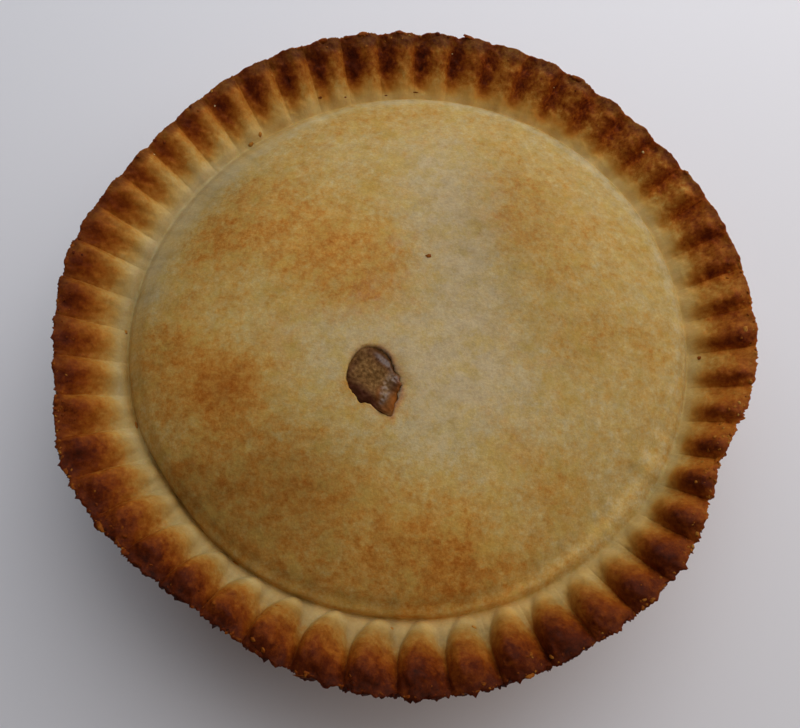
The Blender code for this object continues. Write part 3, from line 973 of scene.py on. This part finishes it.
def pastry_material():
    """Baked shortcrust, from the marks on its vertices."""
    made, tree = new_material("baked_pastry")

    def times(*values):
        """The product of the values."""
        return math_of(tree, "MULTIPLY", *values)

    def total(*values):
        """The sum of the values."""
        return math_of(tree, "ADD", *values)

    def spread(amount, *noise):
        """Noise about 0 instead of 0.5, times an amount; the rest is as for noise_of."""
        return times(math_of(tree, "SUBTRACT", noise_of(tree, *noise), 0.5), amount)

    grain, flaky, flour = (mark_of(tree, name) for name in ("grain", "flaky", "flour"))
    mottled = spread(0.34, 130.0, 6.0, 0.68)
    patchy = times(spread(0.5, 520.0, 4.0, 0.68, 0.3), flaky)
    specked = total(spread(0.5, 1700.0, 3.0, 0.75), spread(0.35, 800.0, 2.0))
    tone = total(mark_of(tree, "browning"), mottled, patchy, times(specked, flaky))
    colour = ramp_of(tree, tone, BAKED_TONES)
    blotches = total(mark_of(tree, "bloom"), spread(1.6, 200.0, 6.0, 0.75, 0.4))
    floury = range_of(tree, blotches, 0.3, 1.3, 0.0, 0.75)
    colour = mix_of(tree, times(floury, grain), colour, FLOUR_COLOUR)
    yellow = times(range_of(tree, noise_of(tree, 240.0, 6.0, 0.72, 0.3), 0.45, 0.68), grain)
    colour = mix_of(tree, times(yellow, 0.6), colour, GRAIN_COLOUR)
    dusty = range_of(tree, total(flour, spread(0.9, 900.0, 3.0, 0.6)), 0.2, 0.9)
    colour = mix_of(tree, times(dusty, flour), colour, DUST_COLOUR)
    specks = times(spread(0.9, 300.0, 5.0, 0.95), grain)
    # light multiplies the colour: the shade mark, mostly painted light and shade, with random
    # specks and fine noise.
    light = total(mark_of(tree, "shade"), specks, spread(0.3, 2300.0, 2.0, 0.6))
    grey = add_node(tree, "ShaderNodeCombineColor", i0=light, i1=light, i2=light).outputs[0]
    shader_of(
        tree,
        Base_Color=mix_of(tree, 1.0, colour, grey, "MULTIPLY"),
        Roughness=0.55,
        Normal=bump_of(tree, noise_of(tree, 1300.0, 4.0, 0.65), strength=0.6, distance=0.22 * MM),
        Specular_IOR_Level=0.06,
        Subsurface_Weight=0.25,
        Subsurface_Radius=(1.0, 0.5, 0.2),
        Subsurface_Scale=1.5 * MM,
    )
    return made


crust_mesh.materials.append(pastry_material())
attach(crust, "root")
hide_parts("crust")
print("crust finished with", crust_mesh.materials[0].name)

# %% [markdown]
# ## Crumbs and flakes
#
# Flakes of crust cling to the crumbly edge, and a few specks of fat and baked-on dough lie
# on the brim and the lid; four pale specks on the brim are painted glints instead. Each is a
# small lumpy blob, sunk a little into the crust under it. Those that stand out are listed,
# and the rest are scattered along the edge, paler where the crust is paler. A ray cast
# straight down finds where each one rests and which way the crust faces there, and all the
# blobs go into one mesh.

# %% Where the crumbs lie
FLAKES = (  # on the edge: the angle, length, width and tone
    (260.2, 3.6, 0.9, 0.66), (267.5, 2.0, 0.8, 0.80), (253.5, 1.5, 0.7, 0.80),
    (249.7, 1.2, 0.6, 0.75), (237.5, 1.2, 0.6, 0.90), (228.8, 1.8, 1.0, 0.62),
    (223.6, 2.0, 0.9, 0.55), (216.2, 1.0, 0.6, 0.60), (202.6, 1.9, 1.2, 0.72),
    (198.6, 0.8, 0.4, 0.70), (196.8, 0.9, 0.4, 0.75), (194.2, 1.0, 0.6, 0.70),
    (189.2, 0.7, 0.4, 0.70), (184.5, 0.8, 0.4, 0.70), (178.0, 1.8, 0.7, 0.60),
    (112.3, 2.2, 1.0, 0.60), (107.6, 1.6, 0.8, 0.65), (104.5, 2.4, 1.0, 0.60),
    (97.5, 2.4, 0.8, 0.62), (90.3, 1.2, 0.8, 0.70), (84.0, 3.4, 0.8, 0.62),
    (62.2, 3.6, 1.2, 0.62), (34.6, 1.4, 0.6, 0.55), (14.5, 1.8, 0.6, 0.50),
    (291.2, 1.6, 0.7, 0.55), (278.0, 2.2, 0.8, 0.85), (284.8, 1.5, 0.7, 0.85),
    (301.5, 1.2, 0.6, 0.60), (308.0, 1.2, 0.6, 0.75), (312.0, 1.0, 0.5, 0.50),
)
SPECKS = (  # elsewhere: the angle, radius, length, width, slant, tone and brightness
    (43.3, 60.3, 0.9, 0.5, 0, 0.15, 1.3), (2.5, 61.5, 1.5, 0.8, 10, 0.40, 1.0),
    # The four specks with tone 0 and brightness 1.5, at 87, 65.5, 136.9 and 152.5 degrees, are
    # painted glints: tiny bright blobs where the brim catches the light.
    (87.0, 61.6, 0.35, 0.25, 0, 0.0, 1.5), (65.5, 61.0, 0.35, 0.25, 0, 0.0, 1.5),
    (136.9, 60.3, 0.45, 0.3, 30, 0.0, 1.5), (152.5, 60.2, 0.5, 0.3, -30, 0.0, 1.5),
    (134.6, 52.6, 1.3, 0.9, 20, 0.42, 1.0), (131.6, 53.2, 1.2, 0.9, 60, 0.40, 1.0),
    (115.5, 55.5, 0.9, 0.5, 0, 0.72, 1.0), (110.0, 54.6, 0.7, 0.3, 0, 0.75, 1.0),
    (100.7, 54.4, 0.8, 0.3, 0, 0.75, 1.0), (94.0, 54.8, 1.4, 0.3, 0, 0.75, 1.0),
    (358.8, 55.3, 0.9, 0.8, 0, 0.66, 1.0), (207.6, 53.6, 1.6, 0.7, 0, 0.44, 1.0),
    (187.5, 53.8, 1.4, 0.6, 0, 0.38, 1.0), (285.8, 55.5, 1.0, 0.6, 0, 0.42, 1.0),
    (252.4, 55.8, 1.1, 0.5, 0, 0.45, 1.0), (241.4, 53.5, 1.5, 0.7, 0, 0.46, 1.0),
    (271.8, 54.9, 1.2, 0.5, 20, 0.42, 1.0), (79.0, 10.4, 1.2, 0.8, 30, 0.55, 0.8),
)
FLAKE_DARKER = 0.06  # how much more browned the flakes are than their table says
# The crumbs are dimmed as painted shade, to match the painted shade on the crust round them.
FLAKE_LIGHT, SCATTERED_LIGHT = 0.85, 0.9  # how bright they and the scattered crumbs are
SCATTERED = 320
TRIED = 4000  # angles tried: those on the crumbly sides are kept, up to SCATTERED
PALER_CRUMBS = ((350, 38, 0.26), (105, 35, 0.24), (205, 20, 0.12))
FROM_EDGE = 0.25  # how far inside the edge they start, in millimetres
print(len(FLAKES), "flakes and", len(SPECKS), "specks placed by hand")

# %% One table for all the crumbs
def edge_radius(angle):
    """How far out, in millimetres, the crumbs start at an angle."""
    return (BRIM_RADIUS + around(angle, EDGE_SWELLINGS)) / MM - FROM_EDGE


def crumb_rows(*columns):
    """Rows of angle, radius, length, width, slant, tone and brightness, from the columns."""
    return np.column_stack(np.broadcast_arrays(*columns))


draw = np.random.default_rng(17)
tried = draw.uniform(0.0, 360.0, TRIED)
angle = tried[draw.uniform(0.0, 1.2, TRIED) < around(tried, CRUMBLY_SIDE)][:SCATTERED]
size = 0.25 + 0.4 * draw.uniform(0.0, 1.0, len(angle)) ** 2
radius = edge_radius(angle) - 3.0 * draw.uniform(-0.1, 1.0, len(angle)) ** 3
tone = draw.normal(0.80, 0.09, len(angle)) - around(angle, PALER_CRUMBS)
slant = draw.uniform(-60, 60, len(angle))
scattered = crumb_rows(angle, radius, 1.5 * size, size, slant, tone, SCATTERED_LIGHT)
angle, length, width, tone = np.array(FLAKES).T
tone = tone + FLAKE_DARKER
flakes = crumb_rows(angle, edge_radius(angle), length, width, 0.0, tone, FLAKE_LIGHT)
crumbs = np.vstack([flakes, SPECKS, scattered])
print(len(crumbs), "crumbs, the largest", round(float(crumbs[:, 2].max()), 1), "mm long")

# %% Where each crumb rests, and its three directions
bpy.context.view_layer.update()


def resting(above):
    """Where a ray down from a place meets the crust, and which way the crust faces there."""
    found, where, facing, _ = crust.ray_cast(above, (0.0, 0.0, -1.0))
    return (*where, *facing) if found and where[2] > 15 * MM else (0.0,) * 6


above_crumbs = points_round(crumbs[:, 1] * MM, crumbs[:, 0], 60 * MM)
rest = np.array([resting(above) for above in above_crumbs.tolist()])
kept = rest[:, 5] > 0.0
crumbs, rest = crumbs[kept], rest[kept]
facing = rest[:, 3:]
along_edge = points_round(1.0, crumbs[:, 0] + 90.0 + crumbs[:, 4], 0.0)
along_edge -= facing * (along_edge * facing).sum(axis=1, keepdims=True)
along_edge /= np.linalg.norm(along_edge, axis=1, keepdims=True)
across_edge = np.cross(facing, along_edge)
print(int(kept.sum()), "of", len(kept), "crumbs lie on the crust")

# %% Blobs for the crumbs
AROUND, UP = 8, 6  # the points round a blob and the steps from pole to pole
LUMPINESS = 0.16  # how much the points lie in and out, for the blob's size
FLATNESS = 0.55  # how high a blob is for its width
SUNK = 0.1  # how deep it lies in the crust, for half its width
from_pole = np.repeat(math.pi * np.arange(1, UP) / UP, AROUND)
round_pole = np.tile(360.0 * np.arange(AROUND) / AROUND, UP - 1)
belts = points_round(np.sin(from_pole), round_pole, np.cos(from_pole))
ball = np.vstack([(0.0, 0.0, 1.0), belts, (0.0, 0.0, -1.0)])
lumpy = ball * (1.0 + LUMPINESS * draw.normal(size=(len(crumbs), len(ball), 1)))
half_long, half_wide = 0.5 * MM * crumbs[:, 2, None], 0.5 * MM * crumbs[:, 3, None]
blobs = rest[:, None, :3] - SUNK * (half_wide * facing)[:, None]
blobs = blobs + lumpy[:, :, :1] * (half_long * along_edge)[:, None]
blobs += lumpy[:, :, 1:2] * (half_wide * across_edge)[:, None]
blobs += lumpy[:, :, 2:] * (FLATNESS * half_wide * facing)[:, None]
here = np.arange(AROUND)
then = (here + 1) % AROUND
last = len(ball) - 1
ball_faces = [np.column_stack([0 * here, 1 + here, 1 + then])]
for belt in range(UP - 2):
    ball_faces += row_faces(AROUND, 1 + belt * AROUND, AROUND, 1 + (belt + 1) * AROUND)
ball_faces.append(np.column_stack([0 * here + last, last - AROUND + then, last - AROUND + here]))
starts = len(ball) * np.arange(len(crumbs))[:, None, None]
crumb_faces = []
for faces in ball_faces:
    crumb_faces += (faces[None] + starts).reshape(-1, faces.shape[1]).tolist()
print("each blob has", len(ball), "points")

# %% One mesh of crumbs
crumb_mesh = bpy.data.meshes.new("pie_crumbs")
crumb_mesh.from_pydata(blobs.reshape(-1, 3).tolist(), [], crumb_faces)
crumb_mesh.shade_smooth()
for mark, value in (("bloom", 0.0), ("grain", 0.0), ("flaky", 0.8), ("flour", 0.0)):
    keep_value(crumb_mesh, mark, np.full(len(crumb_mesh.vertices), value))
keep_value(crumb_mesh, "browning", np.repeat(crumbs[:, 5], len(ball)))
keep_value(crumb_mesh, "shade", np.repeat(crumbs[:, 6], len(ball)))
crumb_mesh.materials.append(crust_mesh.materials[0])
crumb_piece = place("pie_crumbs", crumb_mesh)
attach(crumb_piece, "root")
print(len(crumbs), "blobs of", sum(len(row) - 2 for row in crumb_faces), "triangles in all")

# %% [markdown]
# ## The filling
#
# The filling reaches from wall to wall inside the case. Only a piece of meat in gravy
# shows, in the steam hole, so that is where the rings are close together. The meat's top
# is a height over x and y made of two sizes of noise, and it falls off at the hole's wall.

# %% Rings of the filling
def meat_height(x, y):
    """The top of the meat: just under the lid's top, with lumps and fine fibres."""
    spots = np.column_stack([x, y, 0.0 * x])
    lumps = 0.22 * waves(spots, 3.4 * MM, 11) + 0.05 * waves(spots, 0.9 * MM, 12)
    return MEAT_TOP + (lumps + 0.5) * MM


def meat_ring(way, every):
    """A ring of the meat's top, a share of the way from its middle to the hole's wall."""
    rim = hole_ring(MEAT_TOP, every, widen=-0.03 * MM)
    x = HOLE_CENTRE[0] + way * (rim[:, 0] - HOLE_CENTRE[0])
    y = HOLE_CENTRE[1] + way * (rim[:, 1] - HOLE_CENTRE[1])
    fall = 0.25 * MM * ease(way, 0.9, 1.0)
    return np.column_stack([x, y, meat_height(x, y) - fall])


filling_rings = [round_ring(radius, height, 12) for radius, height in hollow_profile(GAP)]
filling_rings += [hole_ring(ceiling - GAP, 12, widen=1.0 * MM), hole_ring(ceiling, 6, widen=-GAP)]
filling_rings += [hole_ring(30.6 * MM, 6, widen=-GAP)]
filling_rings += [meat_ring(way, 6) for way in np.linspace(1.0, 0.04, 36)]
middle = meat_height(np.array([HOLE_CENTRE[0]]), np.array([HOLE_CENTRE[1]]))[0]
filling_mesh = skin("pie_filling", filling_rings, (0.0, 0.0, PASTRY + GAP), (*HOLE_CENTRE, middle))
filling = place("pie_filling", filling_mesh)
print("meat showing at", round(1000 * middle, 1), "mm")

# %% Where the meat is dark, and where gravy makes it shine
MEAT_MARKS = {  # ovals: x, y, length, width, amount and slant
    "gloss": (
        (-4.3, -11.2, 1.6, 0.5, 1.0, -38),
        (-3.5, -17.4, 1.3, 0.5, 1.0, 80),
        (-2.2, -14.6, 0.9, 0.9, 0.7),
        (-3.0, -16.0, 2.0, 2.5, 0.35, 90),
        (-8.6, -17.9, 2.0, 0.6, 0.4, -55),
    ),
    "dark": (
        (-8.5, -17.6, 2.8, 1.2, 1.0, -52),
        (-6.2, -19.2, 2.4, 1.3, 1.0, -15),
        (-4.6, -11.0, 3.0, 0.9, 0.9, -38),
        (-9.4, -12.6, 1.8, 0.5, 0.6, 60),
        (-1.9, -15.2, 1.4, 0.6, 0.6, 80),
    ),
    "orange": (
        (-1.6, -18.4, 1.6, 0.8, 1.0, 90),
        (-1.0, -15.5, 1.8, 0.5, 0.8, 90),
        (-4.5, -17.6, 1.4, 0.4, 0.7, 80),
        (-2.9, -20.0, 1.2, 0.6, 0.6, 30),
    ),
}
meat_points = vertex_array(filling_mesh)
for mark, rows in MEAT_MARKS.items():
    keep_value(filling_mesh, mark, np.clip(ovals(meat_points, rows), 0.0, 1.0))
print("meat marked with", ", ".join(MEAT_MARKS))

# %% Meat and gravy material
MEAT_TONES = ((0.3, (0.075, 0.034, 0.008)), (0.5, (0.18, 0.084, 0.024)), (0.7, (0.30, 0.165, 0.06)))
FAT_COLOUR = (0.26, 0.072, 0.008)
GRAVY_COLOUR = (0.055, 0.012, 0.006)


def filling_material():
    """Braised meat in brown gravy: fibrous in the middle, dark and wet at the rim."""
    made, tree = new_material("meat_and_gravy")
    fibre = noise_of(tree, 1500.0, 4.0, 0.7)
    fat = math_of(tree, "MULTIPLY", mark_of(tree, "orange"), 0.8)
    gravy = math_of(tree, "MULTIPLY", mark_of(tree, "dark"), 0.9)
    colour = mix_of(tree, fat, ramp_of(tree, fibre, MEAT_TONES), FAT_COLOUR)
    wet = mark_of(tree, "gloss")
    shader_of(
        tree,
        Base_Color=mix_of(tree, gravy, colour, GRAVY_COLOUR),
        Roughness=range_of(tree, wet, 0.0, 1.0, 0.6, 0.28),
        Specular_IOR_Level=range_of(tree, wet, 0.2, 0.9, 0.05, 0.6),
        Normal=bump_of(tree, fibre, strength=0.7, distance=0.12 * MM),
    )
    return made


filling_mesh.materials.append(filling_material())
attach(filling, "root")
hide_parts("filling")
print("filling finished with", filling_mesh.materials[0].name)

# %% [markdown]
# ## The studio
#
# The floor is plain and pale. Two large soft windows light the pie, a warm one from the
# upper right and a cool one from behind, with a faint fill from the front and a little
# light from all round. They give the soft shadow at the lower left. The camera looks down
# steeply from just in front of the pie, close enough for its near side to look larger.

# %% Floor
def floor_material():
    """A matt pale floor, faintly lilac."""
    made, tree = new_material("pale_floor")
    shader_of(tree, Base_Color=(0.78, 0.77, 0.83, 1.0), Roughness=0.9, Specular_IOR_Level=0.1)
    return made


FLOOR_HALF = 1.5
signs = ((-1, -1), (1, -1), (1, 1), (-1, 1))
floor_mesh = bpy.data.meshes.new("floor")
floor_mesh.from_pydata([(FLOOR_HALF * x, FLOOR_HALF * y, 0.0) for x, y in signs], [], [range(4)])
floor_mesh.materials.append(floor_material())
floor = place("floor", floor_mesh)
print("floor", 2 * FLOOR_HALF, "m across")

# %% Lights
def area_light(name, place_at, size, energy, colour):
    """A square soft light that faces the pie, and that the camera doesn't see."""
    lamp = bpy.data.lights.new(name, "AREA")
    lamp.shape = "SQUARE"
    lamp.size = size
    lamp.energy = energy
    lamp.color = colour
    made = place(name, lamp)
    made.location = place_at
    away = np.array(place_at) / np.linalg.norm(place_at)
    made.rotation_euler = (0.0, math.acos(away[2]), math.atan2(away[1], away[0]))
    made.visible_camera = False


area_light("warm_window", (0.1989, 0.1791, 0.2973), 0.6, 1.29, (1.0, 0.90, 0.80))
area_light("sky_window", (0.0, 0.2676, 0.2973), 0.6, 1.18, (0.80, 0.92, 1.0))
area_light("room_fill", (0.0, -0.28, 0.24), 0.5, 0.03, (1.0, 0.97, 0.93))
world = bpy.data.worlds.new("soft_room")
bpy.context.scene.world = world
world.use_nodes = True
background = world.node_tree.nodes["Background"]
background.inputs["Color"].default_value = (1.0, 0.95, 0.90, 1.0)
background.inputs["Strength"].default_value = 0.10
bpy.context.scene.view_settings.view_transform = "Standard"
print("two windows, a faint fill and a soft room")

# %% Camera
CAMERA_PLACE = np.array([-2.35834, -56.61261, 152.39215]) * MM
LOOKS_AT = np.array([-1.307, -11.013, 31.0]) * MM
CAMERA_ROLL = 0.1  # in radians
CAMERA_LENS = 32.98  # for a sensor 36 mm wide

forward = LOOKS_AT - CAMERA_PLACE
forward /= np.linalg.norm(forward)
sideways = np.cross(forward, (0.0, 1.0, 0.0))
sideways /= np.linalg.norm(sideways)
upward = np.cross(sideways, forward)
right = math.cos(CAMERA_ROLL) * sideways + math.sin(CAMERA_ROLL) * upward
up = -math.sin(CAMERA_ROLL) * sideways + math.cos(CAMERA_ROLL) * upward
camera_data = bpy.data.cameras.new("camera")
camera_data.lens = CAMERA_LENS
camera_data.sensor_width = 36.0
camera_data.clip_start = 0.001
camera = place("camera", camera_data)
pose = np.eye(4)
pose[:3, :4] = np.column_stack([right, up, -forward, CAMERA_PLACE])
camera.matrix_world = Matrix(pose.tolist())
bpy.context.scene.camera = camera
print("camera", round(1000 * float(np.linalg.norm(LOOKS_AT - CAMERA_PLACE))), "mm from the lid")

# %% [markdown]
# ## Bring the scene up to date

# %% Bring the scene up to date
bpy.context.view_layer.update()
